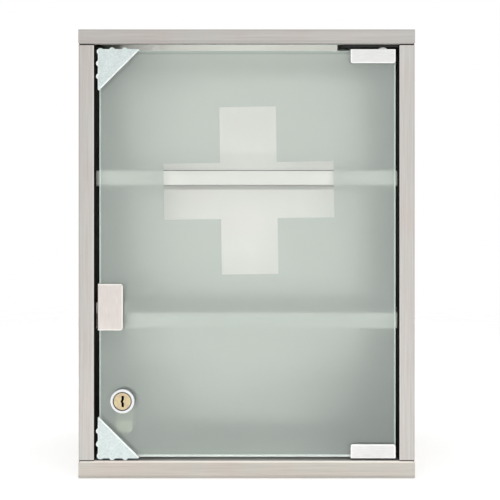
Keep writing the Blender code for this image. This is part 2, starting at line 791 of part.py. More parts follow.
def upper_hinge(top_panel):
    """The bracket is screwed up under the return, so that the door can be lifted out with it off."""
    high = TOP_LIP_EDGE - SEAT
    low = high - BRACKET
    bracket, screw_at = hinge_bracket(low, high)
    bracket_fixing(screw_at, low, high)
    bush, pin = pivot("upper", 1, DOOR_TOP, low, TOP_LIP_EDGE + SHEET)
    for owner, piece in (("bracket", bracket), ("return", top_panel)):
        bush_hole = rod(
            f"upper_{owner}_bush_hole",
            (PIVOT_X, PIVOT_Y, TOP_LIP_EDGE),
            (0, 0, 1),
            BUSH_OUTER / 2 + SEAT,
            2 * (BRACKET + PAST),
        )
        screw_hole = rod(
            f"upper_{owner}_screw_hole",
            (*screw_at, TOP_LIP_EDGE),
            (0, 0, 1),
            SCREW_SHANK / 2 + SEAT,
            2 * (BRACKET + PAST),
        )
        cut(piece, bush_hole, screw_hole)
    return [pin, *hinge_clamp("upper", 1, DOOR_TOP)]


def lower_hinge(bottom_panel):
    """The bush that carries the door's weight sits in the bottom panel's return."""
    bush, pin = pivot("lower", -1, DOOR_BOTTOM, BOTTOM_LIP_EDGE, BOTTOM_LIP_EDGE - SHEET)
    place = (PIVOT_X, PIVOT_Y, BOTTOM_LIP_EDGE - SHEET / 2)
    hole = rod("lower_return_bush_hole", place, (0, 0, 1), BUSH_OUTER / 2 + SEAT, SHEET + PAST)
    cut(bottom_panel, hole)
    return [pin, *hinge_clamp("lower", -1, DOOR_BOTTOM)]


# Door


def door_glass():
    """The pane, with ground edges and the lock's hole."""
    outline = rounded(rectangle(DOOR_LEFT, DOOR_RIGHT, DOOR_BOTTOM, DOOR_TOP), GLASS_CORNER)
    middle = (GLASS_FRONT + GLASS_BACK) / 2
    glass = plate("door_glass", outline, "Y", middle, GLASS, FROSTED)
    bevel(glass, GLASS_ARRIS, segments=1)
    hole = rod(
        "lock_hole",
        (LOCK_X, middle, LOCK_HEIGHT),
        (0, 1, 0),
        BARREL_DIAMETER / 2 + SEAT,
        GLASS + PAST,
        steps=2 * ROUND_STEPS,
    )
    cut(glass, hole)
    return glass


def handle():
    """A clip bent round the free edge of the glass, with its pad and two grub screws behind."""
    bottom, top = HANDLE_BOTTOM, HANDLE_BOTTOM + HANDLE_HEIGHT
    front = GLASS_FRONT - SEAT - HANDLE_WALL / 2
    back = HANDLE_BACK - HANDLE_WALL / 2
    web = HANDLE_LEFT + HANDLE_WALL / 2
    radius = HANDLE_WALL * CLIP_FOLD
    reach = HANDLE_LENGTH - HANDLE_WALL / 2
    bm = sheet_blank((web, front + radius, bottom), (web, back - radius, top))
    fold(bm, free_edges(bm, 1, front + radius), (0, -1, 0), (1, 0, 0), reach, radius=radius)
    fold(bm, free_edges(bm, 1, back - radius), (0, 1, 0), (1, 0, 0), reach, radius=radius)
    clip = sheet_object("handle_clip", bm, HANDLE_WALL, CHROME)
    outline = rounded(
        rectangle(HANDLE_LEFT - PAST, HANDLE_RIGHT, bottom, top), [0, HANDLE_CORNER, HANDLE_CORNER, 0]
    )
    envelope = plate("handle_outline", outline, "Y", (front + back) / 2, back - front + HANDLE_WALL + PAST)
    boolean(clip, envelope, "INTERSECT")

    pad_front = GLASS_BACK + SEAT
    pad = block(
        "handle_pad",
        (DOOR_LEFT + HANDLE_PAD_MARGIN, pad_front, bottom + HANDLE_PAD_MARGIN),
        (HANDLE_RIGHT - HANDLE_PAD_MARGIN, pad_front + HANDLE_PAD, top - HANDLE_PAD_MARGIN),
        NYLON,
    )
    pieces = [clip, pad]
    for label, side in (("lower", -1), ("upper", 1)):
        place = ((HANDLE_LEFT + HANDLE_RIGHT) / 2, (bottom + top) / 2 + side * HANDLE_GRUB_SPREAD / 2)
        # These end level with the clip, whose back meets the magnet between them
        length = HANDLE_WALL
        start = pad_front + HANDLE_PAD + SEAT
        pieces.append(grub_screw(f"handle_grub_{label}", place, start, length, clip, HANDLE_BACK))
    return pieces


def guard_rim(name, corner_z, inward, front):
    """The raised rim along the guard's long edge."""
    outer = GUARD_LEG - GUARD_RIM_INSET * math.sqrt(2)
    inner = outer - GUARD_RIM_WIDTH * math.sqrt(2)
    outline = [
        (DOOR_LEFT + outer, corner_z),
        (DOOR_LEFT, corner_z + inward * outer),
        (DOOR_LEFT, corner_z + inward * inner),
        (DOOR_LEFT + inner, corner_z),
    ]
    thickness = GUARD_RIM_HEIGHT + GUARD_PLATE / 2
    return plate(name, outline, "Y", front - GUARD_RIM_HEIGHT + thickness / 2, thickness)


def corner_guard(name, up):
    """A moulded pocket over a corner of the glass, triangular, with round bumps along its two walls."""
    corner_z = DOOR_TOP if up > 0 else DOOR_BOTTOM
    inward = -up
    outside = SEAT + GUARD_WALL
    front, back = GLASS_FRONT - SEAT - GUARD_PLATE, GLASS_BACK + SEAT + GUARD_PLATE
    middle, depth = (front + back) / 2, back - front
    corners = [
        (DOOR_LEFT - outside, corner_z - inward * outside),
        (DOOR_LEFT + GUARD_LEG, corner_z - inward * outside),
        (DOOR_LEFT - outside, corner_z + inward * GUARD_LEG),
    ]
    if inward < 0:
        corners = [corners[0], corners[2], corners[1]]
    guard = plate(name, rounded(corners, GUARD_TIP), "Y", middle, depth, CLEAR_PLASTIC)
    inset = GUARD_CORNER_BUMP_INSET
    bumps = [(DOOR_LEFT + inset, corner_z + inward * inset, GUARD_CORNER_BUMP_RADIUS)]
    for i in range(1, GUARD_BUMPS + 1):
        bumps.append((DOOR_LEFT, corner_z + inward * i * GUARD_BUMP_PITCH, GUARD_BUMP_RADIUS))
        bumps.append((DOOR_LEFT + i * GUARD_BUMP_PITCH, corner_z, GUARD_BUMP_RADIUS))
    for i, (x, z, radius) in enumerate(bumps):
        join(guard, rod(f"{name}_bump_{i}", (x, middle, z), (0, 1, 0), radius, depth, steps=24))
    join(guard, guard_rim(f"{name}_rim", corner_z, inward, front))
    pocket_end = corner_z + inward * (GUARD_LEG + PAST)
    pocket_edge = corner_z - inward * SEAT
    pocket = block(
        f"{name}_pocket",
        (DOOR_LEFT - SEAT, GLASS_FRONT - SEAT, min(pocket_edge, pocket_end)),
        (DOOR_LEFT + GUARD_LEG + PAST, GLASS_BACK + SEAT, max(pocket_edge, pocket_end)),
    )
    cut(guard, pocket)
    return guard


# Magnetic catch


def magnetic_catch(lower_shelf):
    """A moulded housing screwed to the lower shelf, with a magnet between two pole plates."""
    right = HANDLE_RIGHT + CATCH_FROM_HANDLE
    left = right - CATCH_LENGTH
    middle_x = (left + right) / 2
    front = HANDLE_BACK + 2 * SEAT
    back = front + CATCH_DEPTH
    bottom = LOWER_SHELF_TOP + SEAT
    top = bottom + CATCH_HEIGHT
    foot_front = back - CATCH_FOOT
    housing = block("catch_housing", (left, front, bottom), (right, back, top), WHITE_PLASTIC)
    step = block(
        "catch_step",
        (left - PAST, foot_front, bottom + CATCH_FOOT_HEIGHT),
        (right + PAST, back + PAST, top + PAST),
    )
    cut(housing, step)
    bevel(housing, CATCH_ROUNDING)

    middle_z = (bottom + top) / 2
    half = MAGNET_LENGTH / 2
    stack = MAGNET_HEIGHT / 2 + SEAT + POLE
    pocket = block(
        "catch_pocket",
        (middle_x - half - SEAT, front - PAST, middle_z - stack - SEAT),
        (middle_x + half + SEAT, front + MAGNET_DEPTH + 2 * SEAT, middle_z + stack + SEAT),
    )
    cut(housing, pocket)
    block(
        "catch_magnet",
        (middle_x - half, front + SEAT, middle_z - MAGNET_HEIGHT / 2),
        (middle_x + half, front + SEAT + MAGNET_DEPTH, middle_z + MAGNET_HEIGHT / 2),
        FERRITE,
    )
    for label, side in (("lower", -1), ("upper", 1)):
        near = middle_z + side * (MAGNET_HEIGHT / 2 + SEAT)
        pole_low, pole_high = sorted((near, near + side * POLE))
        block(
            f"catch_pole_{label}",
            (middle_x - half, front - SEAT, pole_low),
            (middle_x + half, front + MAGNET_DEPTH, pole_high),
            STEEL,
        )

    screw_y = (foot_front + back) / 2
    for label, side in (("left", -1), ("right", 1)):
        x = middle_x + side * CATCH_SCREW_SPREAD / 2
        pan_screw(
            f"catch_screw_{label}",
            (x, screw_y, bottom + CATCH_FOOT_HEIGHT + SEAT),
            (0, 0, 1),
            CATCH_SCREW_HEAD,
            CATCH_SCREW_HEAD_HEIGHT,
            CATCH_SCREW_SHANK,
            CATCH_SCREW_LENGTH,
            STEEL,
        )
        for owner, piece in (("housing", housing), ("shelf", lower_shelf)):
            hole = rod(
                f"catch_{owner}_hole_{label}",
                (x, screw_y, bottom),
                (0, 0, 1),
                CATCH_SCREW_SHANK / 2 + SEAT,
                2 * (CATCH_FOOT_HEIGHT + PAST),
                steps=20,
            )
            cut(piece, hole)


# Lock


def lock_body():
    """The barrel through the glass with its front bezel, and the washer and nut behind."""
    face = -(GLASS_FRONT - SEAT)
    front = face + BEZEL_HEIGHT
    rear = -(GLASS_BACK + BARREL_BEHIND_GLASS)
    face_bore = PLUG_FACE / 2 + SEAT
    shank_bore = PLUG_SHANK / 2 + SEAT
    step = front - PLUG_FACE_HEIGHT - SEAT
    rim = BEZEL_DIAMETER / 2
    profile = [(face_bore, front)]
    for i in range(ARC_STEPS + 1):
        angle = math.pi / 2 * i / ARC_STEPS
        profile.append(
            (
                rim - BEZEL_ROUNDING * (1 - math.sin(angle)),
                front - BEZEL_ROUNDING * (1 - math.cos(angle)),
            )
        )
    profile += [
        (rim, face),
        (BARREL_DIAMETER / 2, face),
        (BARREL_DIAMETER / 2, rear),
        (shank_bore, rear),
        (shank_bore, step),
        (face_bore, step),
    ]
    towards = (0, -1, 0)
    steps = 2 * ROUND_STEPS
    barrel = turned("lock_barrel", profile, LOCK_CENTRE, towards, CHROME, closed=True, steps=steps)
    washer_face = -(GLASS_BACK + SEAT)
    inner = BARREL_DIAMETER / 2 + SEAT
    washer = ring(
        "lock_washer",
        inner,
        LOCK_WASHER_DIAMETER / 2,
        washer_face - LOCK_WASHER,
        washer_face,
        LOCK_CENTRE,
        towards,
        RUBBER,
    )
    nut_middle = GLASS_BACK + 2 * SEAT + LOCK_WASHER + LOCK_NUT_HEIGHT / 2
    nut = hex_nut(
        "lock_nut",
        (LOCK_X, nut_middle, LOCK_HEIGHT),
        (0, 1, 0),
        LOCK_NUT_ACROSS,
        LOCK_NUT_HEIGHT,
        2 * inner,
        CHROME,
    )
    return [barrel, washer, nut]


def lock_plug():
    """The turning plug, with its keyway in front, and the cam that a screw holds on its square tail."""
    front = -(GLASS_FRONT - SEAT) + BEZEL_HEIGHT
    rear = -(GLASS_BACK + BARREL_BEHIND_GLASS + SEAT)
    step = front - PLUG_FACE_HEIGHT
    edge = ARRIS
    profile = [
        (0, front),
        (PLUG_FACE / 2 - edge, front),
        (PLUG_FACE / 2, front - edge),
        (PLUG_FACE / 2, step),
        (PLUG_SHANK / 2, step),
        (PLUG_SHANK / 2, rear),
        (0, rear),
    ]
    plug = turned("lock_plug", profile, LOCK_CENTRE, (0, -1, 0), BRASS, steps=2 * ROUND_STEPS)
    cam_front = -rear + SEAT
    cam_back = cam_front + CAM_SHEET
    tail_end = cam_back - SEAT
    tail = block(
        "lock_tail",
        (LOCK_X - TAIL / 2, -rear - PAST, LOCK_HEIGHT - TAIL / 2),
        (LOCK_X + TAIL / 2, tail_end, LOCK_HEIGHT + TAIL / 2),
    )
    join(plug, tail)
    half, shift = KEYWAY_WIDTH / 2, KEYWAY_STEP / 2
    level = KEYWAY_HEIGHT / 2
    kink = KEYWAY_HEIGHT / 6
    keyway_side = [(-level, shift), (-kink, shift), (0, -shift), (kink, shift), (level, shift)]
    right_side = [(LOCK_X + half + x, LOCK_HEIGHT + z) for z, x in keyway_side]
    left_side = [(LOCK_X - half + x, LOCK_HEIGHT + z) for z, x in reversed(keyway_side)]
    keyway = plate("keyway", right_side + left_side, "Y", -front, 2 * KEYWAY_DEPTH)
    cut(plug, keyway)
    hole_end = tail_end - CAM_SCREW_LENGTH - SEAT
    hole = rod(
        "cam_screw_hole",
        (LOCK_X, (hole_end + tail_end + PAST) / 2, LOCK_HEIGHT),
        (0, 1, 0),
        CAM_SCREW_SHANK / 2 + SEAT,
        tail_end + PAST - hole_end,
        steps=20,
    )
    cut(plug, hole)

    cam = lock_cam((cam_front + cam_back) / 2)
    washer_front = cam_back + SEAT
    washer = ring(
        "cam_washer",
        CAM_SCREW_SHANK / 2 + SEAT,
        CAM_WASHER_DIAMETER / 2,
        -(washer_front + CAM_WASHER),
        -washer_front,
        LOCK_CENTRE,
        (0, -1, 0),
        STEEL,
    )
    screw_seat = washer_front + CAM_WASHER + SEAT
    screw = pan_screw(
        "cam_screw",
        (LOCK_X, screw_seat, LOCK_HEIGHT),
        (0, 1, 0),
        CAM_SCREW_HEAD,
        CAM_SCREW_HEAD_HEIGHT,
        CAM_SCREW_SHANK,
        screw_seat - hole_end - SEAT,
        STEEL,
    )
    return [plug, cam, washer, screw]


def lock_cam(level):
    """A bent strip on the plug's square tail. At rest it hangs down, clear of the frame."""
    top = LOCK_HEIGHT + CAM_WIDTH / 2
    left, right = LOCK_X - CAM_WIDTH / 2, LOCK_X + CAM_WIDTH / 2
    bm = sheet_blank((left, level, LOCK_HEIGHT - CAM_JOG_FROM), (right, level, top))
    edges = free_edges(bm, 2, LOCK_HEIGHT - CAM_JOG_FROM)
    edges = extrude_edges(bm, edges, Vector((0, -CAM_JOG, -(CAM_JOG_TO - CAM_JOG_FROM))))
    extrude_edges(bm, edges, Vector((0, 0, -(CAM_REACH - CAM_JOG_TO))))
    cam = sheet_object("lock_cam", bm, CAM_SHEET, STEEL)
    bottom = LOCK_HEIGHT - CAM_REACH
    outline = rounded(
        rectangle(left, right, bottom, top),
        [CAM_CORNER, CAM_CORNER, CAM_WIDTH / 2, CAM_WIDTH / 2],
    )
    envelope = plate("cam_outline", outline, "Y", level - CAM_JOG / 2, CAM_JOG + CAM_SHEET + PAST)
    boolean(cam, envelope, "INTERSECT")
    half = TAIL / 2 + SEAT
    square = block(
        "cam_square_hole",
        (LOCK_X - half, level - CAM_SHEET, LOCK_HEIGHT - half),
        (LOCK_X + half, level + CAM_SHEET, LOCK_HEIGHT + half),
    )
    cut(cam, square)
    return cam


# Assembly


def on_axis(name, location, pieces, parent=None):
    """An empty on a joint's axis that carries its pieces."""
    empty = bpy.data.objects.new(name, None)
    empty.empty_display_size = 20 * MM
    PARTS.objects.link(empty)
    empty.location = location
    bpy.context.view_layer.update()
    if parent:
        hang(empty, parent)
    for piece in pieces:
        hang(piece, empty)
    return empty


def hang(piece, parent):
    piece.parent = parent
    piece.matrix_parent_inverse = parent.matrix_world.inverted()


def smooth_by_angle():
    """A node group that shades faces smooth, save across edges sharper than SMOOTH_BELOW."""
    group = bpy.data.node_groups.new("smooth_by_angle", "GeometryNodeTree")
    group.is_modifier = True
    for way in ("INPUT", "OUTPUT"):
        group.interface.new_socket("Geometry", in_out=way, socket_type="NodeSocketGeometry")
    start = group.nodes.new("NodeGroupInput")
    end = group.nodes.new("NodeGroupOutput")
    smooth_faces = group.nodes.new("GeometryNodeSetShadeSmooth")
    sharp_edges = group.nodes.new("GeometryNodeSetShadeSmooth")
    sharp_edges.domain = "EDGE"
    angle = group.nodes.new("GeometryNodeInputMeshEdgeAngle")
    is_blunt = group.nodes.new("FunctionNodeCompare")
    is_blunt.operation = "LESS_THAN"
    is_blunt.inputs["B"].default_value = SMOOTH_BELOW
    links = group.links
    links.new(start.outputs["Geometry"], smooth_faces.inputs["Geometry"])
    links.new(smooth_faces.outputs["Geometry"], sharp_edges.inputs["Geometry"])
    links.new(angle.outputs["Unsigned Angle"], is_blunt.inputs["A"])
    links.new(is_blunt.outputs["Result"], sharp_edges.inputs["Shade Smooth"])
    links.new(sharp_edges.outputs["Geometry"], end.inputs["Geometry"])
    return group


def hang_cutters():
    """Hangs each cutter on what it cuts, so that a turned door keeps its holes."""
    bpy.context.view_layer.update()
    for obj in [*PARTS.objects, *CUTTERS.objects]:
        for modifier in obj.modifiers:
            if modifier.type == "BOOLEAN":
                hang(modifier.object, obj)


def shade_smooth():
    group = smooth_by_angle()
    for obj in PARTS.objects:
        if obj.type == "MESH":
            obj.modifiers.new("smooth by angle", "NODES").node_group = group


def build():
    top_panel = top_or_bottom_panel("top_panel", upper=True)
    bottom_panel = top_or_bottom_panel("bottom_panel", upper=False)
    side_panel("left_side_panel", -1)
    side_panel("right_side_panel", 1)
    back_panel()
    shelf("upper_shelf", UPPER_SHELF_TOP)
    magnetic_catch(shelf("lower_shelf", LOWER_SHELF_TOP))

    door = [door_glass(), *upper_hinge(top_panel), *lower_hinge(bottom_panel), *handle(), *lock_body()]
    door += [corner_guard("upper_corner_guard", 1), corner_guard("lower_corner_guard", -1)]
    lock = lock_plug()
    hang_cutters()
    door_pivot = on_axis("door_pivot", (PIVOT_X, PIVOT_Y, DOOR_BOTTOM), door)
    on_axis("lock_axis", (LOCK_X, GLASS_FRONT, LOCK_HEIGHT), lock, parent=door_pivot)
    shade_smooth()


build()
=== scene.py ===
"""Looks of the wall medicine cabinet: brushed steel case, frosted glass door with a clear cross, and its fittings.

Metres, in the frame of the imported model: +Z up, the front faces -Y, the origin under the middle of the case.
"""

import math

import bpy
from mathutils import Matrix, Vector

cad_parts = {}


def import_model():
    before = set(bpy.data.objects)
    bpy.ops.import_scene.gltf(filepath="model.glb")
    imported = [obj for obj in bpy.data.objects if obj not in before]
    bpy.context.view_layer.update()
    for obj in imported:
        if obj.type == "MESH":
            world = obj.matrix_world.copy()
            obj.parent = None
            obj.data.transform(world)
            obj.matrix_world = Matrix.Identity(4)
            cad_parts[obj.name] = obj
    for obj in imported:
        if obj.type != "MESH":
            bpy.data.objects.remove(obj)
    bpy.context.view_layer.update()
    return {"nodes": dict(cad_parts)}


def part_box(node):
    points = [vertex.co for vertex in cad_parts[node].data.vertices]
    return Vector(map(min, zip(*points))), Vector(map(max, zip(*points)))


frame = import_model()

MM = 0.001

# The picture: how wide it is at the front of the case, its middle there, and where the camera stands
PICTURE_WIDTH = 445.3 * MM
PICTURE_MIDDLE = (2.96 * MM, 203.1 * MM)
CAMERA_AWAY = 525 * MM
CAMERA_HEIGHT = 225 * MM
CAMERA_CLIP = (0.01, 50)
SENSOR = 36.0

# The lamps: place, width and height, and power. The key lamp is low and flat, so that the upper shelf's shadow on
# the back panel stays hidden behind the shelf's own apron. AMBIENT is the world's light on matt surfaces.
KEY_LAMP = ((-0.25, -2.5, 0.064), (2.5, 0.04), 51)
TOP_LAMP = ((0.0, -0.2, 2.6), (2.2, 1.8), 42)
LAMPS_AIM = (0, 0, 0.2)
AMBIENT = 0.2

# The floor: half its width, how far below the case it lies, its glow to camera and mirrors, and where it fades out
FLOOR_HALF = 1.3
FLOOR_DROP = 0.6 * MM
FLOOR_GLOW = 0.4
FLOOR_FADE = (0.45, 1.2)

# The case's outer box. What lies deeper than the skin is inside.
PANELS = ("left_side_panel", "right_side_panel", "bottom_panel", "top_panel", "back_panel")
case_low = Vector(min(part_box(n)[0][i] for n in PANELS) for i in range(3))
case_high = Vector(max(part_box(n)[1][i] for n in PANELS) for i in range(3))
FRONT = case_low.y
SKIN = 0.6 * MM

# The front frame: the side lips' inner edges, the open joints between them and the bars above and below, and
# depths behind the front: of the frame's face, the joints, the lips and their returns
LIP_EDGE = 136.0 * MM
JOINT_ABOVE = 385.95 * MM
JOINT_BELOW = 15.55 * MM
FACE_DEPTH = 0.8 * MM
JOINT_DEPTH = 4 * MM
LIP_DEPTH = 10 * MM
RETURN_DEPTH = 22 * MM

# Painted highlights and painted shade along the folded edges of the frame's face, lighter or darker than the sheet:
# axis, from, to (of |x| or z, mm), factor
SIDE_FOLD_LIGHT_AND_SHADE = ((0, 136.0, 137.1, 1.16), (0, 148.4, 150.0, 0.88))
TOP_FOLD_LIGHT_AND_SHADE = ((2, 386.2, 387.1, 0.50), (2, 387.1, 390.0, 0.92), (2, 398.4, 400.0, 0.86))
BOTTOM_FOLD_LIGHT_AND_SHADE = ((2, 13.6, 15.3, 1.38), (2, 0.9, 2.6, 0.92), (2, 0.0, 0.9, 0.55))

# The shelves: the upper one's lowest and highest level, and depths of their fronts and rear flanges
UPPER_SHELF = (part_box("upper_shelf")[0][2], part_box("upper_shelf")[1][2])
SHELF_FRONT = 20 * MM
SHELF_REAR = 116 * MM

# The clear cross in the frost: its middle, how far its arms reach, half their width, and its slight turn
CROSS_MIDDLE = (1.95 * MM, 256.4 * MM)
CROSS_REACH = (76.5 * MM, 75.4 * MM)
CROSS_ARM = (25.55 * MM, 25.35 * MM)
CROSS_TURN = math.radians(0.93)

# The lock's axis, across and up, and how deep its keyway is
LOCK_MIDDLE = [(a + b) / 2 for a, b in zip(*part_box("lock_barrel"))][::2]
KEYWAY_DEPTH = 9 * MM

# How softly a drawn line ends
SOFT = 0.1 * MM

# Tones of the steel sheet, outside and inside the case
OUTER = (0.60, 0.575, 0.548)
INNER = (0.91, 0.905, 0.875)
BLACK = (0, 0, 0)
INNER_ROUGH = 0.32


# Node trees


class Tree:
    """Builds a node tree one call at a time. A socket, a number or a colour may stand for any input."""

    def __init__(self, tree):
        self.tree = tree
        tree.nodes.clear()

    def node(self, kind, inputs=None, out=0, **settings):
        made = self.tree.nodes.new(kind)
        for key, value in settings.items():
            setattr(made, key, value)
        for key, value in (inputs or {}).items():
            self.put(made.inputs[key], value)
        return made.outputs[out] if out is not None else made

    def put(self, socket, value):
        if isinstance(value, bpy.types.NodeSocket):
            self.tree.links.new(value, socket)
        elif isinstance(value, (tuple, list)) and socket.type == "RGBA" and len(value) == 3:
            socket.default_value = (*value, 1.0)
        else:
            socket.default_value = value

    def maths(self, operation, a, b=0.0):
        return self.node("ShaderNodeMath", {0: a, 1: b}, operation=operation)

    def mix(self, share, a, b, blend="MIX"):
        made = self.node("ShaderNodeMix", out=None, data_type="RGBA", blend_type=blend)
        self.put(made.inputs["Factor"], share)
        self.put(made.inputs[6], a)
        self.put(made.inputs[7], b)
        return made.outputs[2]

    def shaded(self, colour, shade):
        """The colour times a number."""
        return self.node("ShaderNodeVectorMath", {0: colour, "Scale": shade}, operation="SCALE")

    def ramp(self, value, low, high, to_low=0.0, to_high=1.0, smooth=False):
        return self.node(
            "ShaderNodeMapRange",
            {"Value": value, "From Min": low, "From Max": high, "To Min": to_low, "To Max": to_high},
            interpolation_type="SMOOTHSTEP" if smooth else "LINEAR",
        )

    def place(self):
        return self.node("ShaderNodeTexCoord", out="Object")

    def parts(self, vector):
        return self.node("ShaderNodeSeparateXYZ", {"Vector": vector}, out=None).outputs

    def noise(self, place, sizes, detail=2.0, roughness=0.5):
        """Noise whose grain has these lengths along x, y and z, or the same one along all three."""
        if not isinstance(sizes, (tuple, list)):
            sizes = (sizes,) * 3
        scaled = self.node("ShaderNodeVectorMath", {0: place, 1: tuple(1 / s for s in sizes)}, operation="MULTIPLY")
        return self.node(
            "ShaderNodeTexNoise",
            {"Vector": scaled, "Scale": 1.0, "Detail": detail, "Roughness": roughness},
            noise_dimensions="3D",
        )

    def bump(self, height, distance, strength):
        return self.node("ShaderNodeBump", {"Height": height, "Distance": distance, "Strength": strength})

    def principled(self, **inputs):
        """The whole material: one Principled shader. Underscores stand for the spaces in its sockets' names."""
        sockets = {key.replace("_", " "): value for key, value in inputs.items()}
        self.output(self.node("ShaderNodeBsdfPrincipled", sockets))

    def output(self, surface):
        self.node("ShaderNodeOutputMaterial", {"Surface": surface}, out=None)


def material(name):
    made = bpy.data.materials.new(name)
    made.use_nodes = True
    return made, Tree(made.node_tree)


# Steel sheet


def inside_case(t, x, y, z):
    """0 on the case's outer faces, and 1 deeper than their skin."""
    inside = t.maths("LESS_THAN", t.maths("ABSOLUTE", x), case_high.x - SKIN)
    for low, value in ((FRONT + SKIN, y), (case_low.z + SKIN, z)):
        inside = t.maths("MULTIPLY", inside, t.maths("GREATER_THAN", value, low))
    for high, value in ((case_high.y - SKIN, y), (case_high.z - SKIN, z)):
        inside = t.maths("MULTIPLY", inside, t.maths("LESS_THAN", value, high))
    return inside


def with_painted_joint_shade(t, base, x, y, z):
    """The colour, with painted shade: nearly black in the open joints between the side lips and the bars."""
    beside = t.maths("GREATER_THAN", t.maths("ABSOLUTE", x), LIP_EDGE)
    for joint in (JOINT_ABOVE, JOINT_BELOW):
        off = t.maths("ABSOLUTE", t.maths("SUBTRACT", z, joint))
        dark = t.maths("MULTIPLY", beside, t.ramp(off, 0.3 * MM, 0.5 * MM, 0.93, 0.0))
        dark = t.maths("MULTIPLY", dark, t.maths("LESS_THAN", y, FRONT + JOINT_DEPTH))
        base = t.mix(dark, base, BLACK)
    return base


def with_painted_fold_light(t, base, folds, x, y, z):
    """The colour, with painted highlights and painted shade along the folded edges of the frame's face."""
    for axis, start, end, factor in folds:
        off = t.maths("ABSOLUTE", x) if axis == 0 else z
        off = t.maths("ABSOLUTE", t.maths("SUBTRACT", off, (start + end) / 2 * MM))
        half = (end - start) / 2 * MM
        line = t.ramp(off, half + SOFT, half - SOFT)
        line = t.maths("MULTIPLY", line, t.maths("LESS_THAN", y, FRONT + FACE_DEPTH))
        base = t.mix(line, base, t.shaded(base, factor))
    return base


def sheet_steel(name, along, inner, folds=(), tint=(1, 1, 1), specular=0.5):
    """Stainless sheet brushed along one axis (0, 1 or 2) outside. Inside the case it is smoother, and
    inner(t, x, y, z) gives its painted tone of light and shade, its share of mirror-like reflection and its roughness
    there."""
    mat, t = material(name)
    place = t.place()
    x, y, z = t.parts(place)

    def grain(across, run):
        sizes = [across] * 3
        sizes[along] = run
        return t.noise(place, sizes, detail=3, roughness=0.65)

    lines = grain(0.65 * MM, 45 * MM)
    streaks = grain(2.4 * MM, 165 * MM)
    clouds = t.noise(place, 38 * MM)
    inside = inside_case(t, x, y, z)
    outside = t.maths("SUBTRACT", 1.0, inside)

    # The brushing and drifting tone, weaker inside
    shade = t.maths("ADD", t.ramp(lines, 0.25, 0.75, -0.10, 0.10), t.ramp(streaks, 0.3, 0.7, -0.04, 0.04))
    shade = t.maths("MULTIPLY", shade, t.maths("ADD", t.maths("MULTIPLY", outside, 0.8), 0.2))
    shade = t.maths("ADD", shade, t.ramp(clouds, 0.3, 0.7, -0.02, 0.02))

    tone, mirror, smooth = inner(t, x, y, z)
    base = t.mix(inside, tuple(a * b for a, b in zip(OUTER, tint)), t.mix(tone, BLACK, INNER))
    # Painted shade in the open joints, and painted highlights and shade along the folds
    base = with_painted_joint_shade(t, base, x, y, z)
    base = with_painted_fold_light(t, base, folds, x, y, z)
    warm = t.mix(t.ramp(clouds, 0.3, 0.7), (1.03, 0.992, 0.985), (0.98, 1.004, 0.998))
    base = t.mix(t.ramp(inside, 0.0, 1.0, 1.0, 0.4), base, t.mix(1.0, base, warm, "MULTIPLY"))

    brushed = t.ramp(lines, 0.2, 0.8, 0.28, 0.38)
    height = t.maths("MULTIPLY", lines, t.maths("ADD", t.maths("MULTIPLY", outside, 0.9), 0.1))
    t.principled(
        Base_Color=t.shaded(base, t.maths("ADD", shade, 1.0)),
        Metallic=t.ramp(inside, 0.0, 1.0, 1.0, mirror),
        Roughness=t.mix(inside, brushed, t.ramp(clouds, 0.2, 0.8, smooth - 0.02, smooth + 0.03)),
        Specular_IOR_Level=specular,
        Normal=t.bump(height, 0.012 * MM, 0.6),
    )
    return mat


def behind(t, y, depth, soft=0.4 * MM):
    """0 in front of a depth behind the case's front, 1 behind it."""
    return t.ramp(y, FRONT + depth - soft, FRONT + depth + soft)


def side_inner(t, x, y, z):
    """Painted shade: dark behind the lips, and paler towards the back panel."""
    wall = t.ramp(y, FRONT + 76 * MM, FRONT + 112 * MM, 0.035, 0.20, smooth=True)
    return t.mix(behind(t, y, LIP_DEPTH), (0.02, 0.02, 0.02), wall), 0.06, INNER_ROUGH


def back_inner(t, x, y, z):
    """Painted light and shade: pale in the middle and at the top left, darker towards the sides, the foot, the lower
    corners and above the shelves.
    """
    across = t.maths("ABSOLUTE", x)
    # Painted shade towards the sides, the foot, the lower corners and above both shelves
    corner = t.ramp(across, 110 * MM, 142 * MM, 1.0, 0.45, smooth=True)
    foot = t.ramp(t.maths("SUBTRACT", z, t.maths("MULTIPLY", x, 0.2)), 90 * MM, 25 * MM, 1.0, 0.66, smooth=True)
    over_lower_shelf = t.maths(
        "MULTIPLY", t.ramp(z, 185 * MM, 150 * MM, smooth=True), t.maths("GREATER_THAN", z, 140 * MM)
    )
    over_upper_shelf = t.maths(
        "MULTIPLY", t.ramp(z, 312 * MM, 300 * MM, smooth=True), t.maths("GREATER_THAN", z, 265 * MM)
    )
    low_corner = t.maths(
        "MULTIPLY", t.ramp(across, 50 * MM, 130 * MM, smooth=True), t.ramp(z, 120 * MM, 30 * MM, smooth=True)
    )
    shade = foot
    for dark, share in ((over_lower_shelf, 0.13), (low_corner, 0.35), (over_upper_shelf, 0.11)):
        shade = t.maths("SUBTRACT", shade, t.maths("MULTIPLY", dark, share))
    # Painted light at the top left
    top_left = t.maths(
        "MULTIPLY",
        t.ramp(z, 290 * MM, 360 * MM, 1.0, 1.6, smooth=True),
        t.ramp(x, -30 * MM, -110 * MM, smooth=True),
    )
    tone = t.maths("MULTIPLY", t.maths("MULTIPLY", corner, shade), t.maths("MAXIMUM", top_left, 1.05))
    return t.maths("MAXIMUM", t.maths("MINIMUM", tone, 1.06), 0.22), 0.12, INNER_ROUGH


def behind_side_lip(t, x, y):
    """A mask of painted shade: 1 between the side lips and in the depth, and nearly 0 behind them, where the corners'
    open joints look in.
    """
    beside = t.ramp(t.maths("ABSOLUTE", x), LIP_EDGE + 0.2 * MM, LIP_EDGE + 0.8 * MM, 1.0, 0.03)
    return t.maths("MAXIMUM", beside, behind(t, y, RETURN_DEPTH))


def top_inner(t, x, y, z):
    """Polished, since the gap above the door shows the roof, and painted dark behind the side lips as shade."""
    return behind_side_lip(t, x, y), 1.0, 0.16


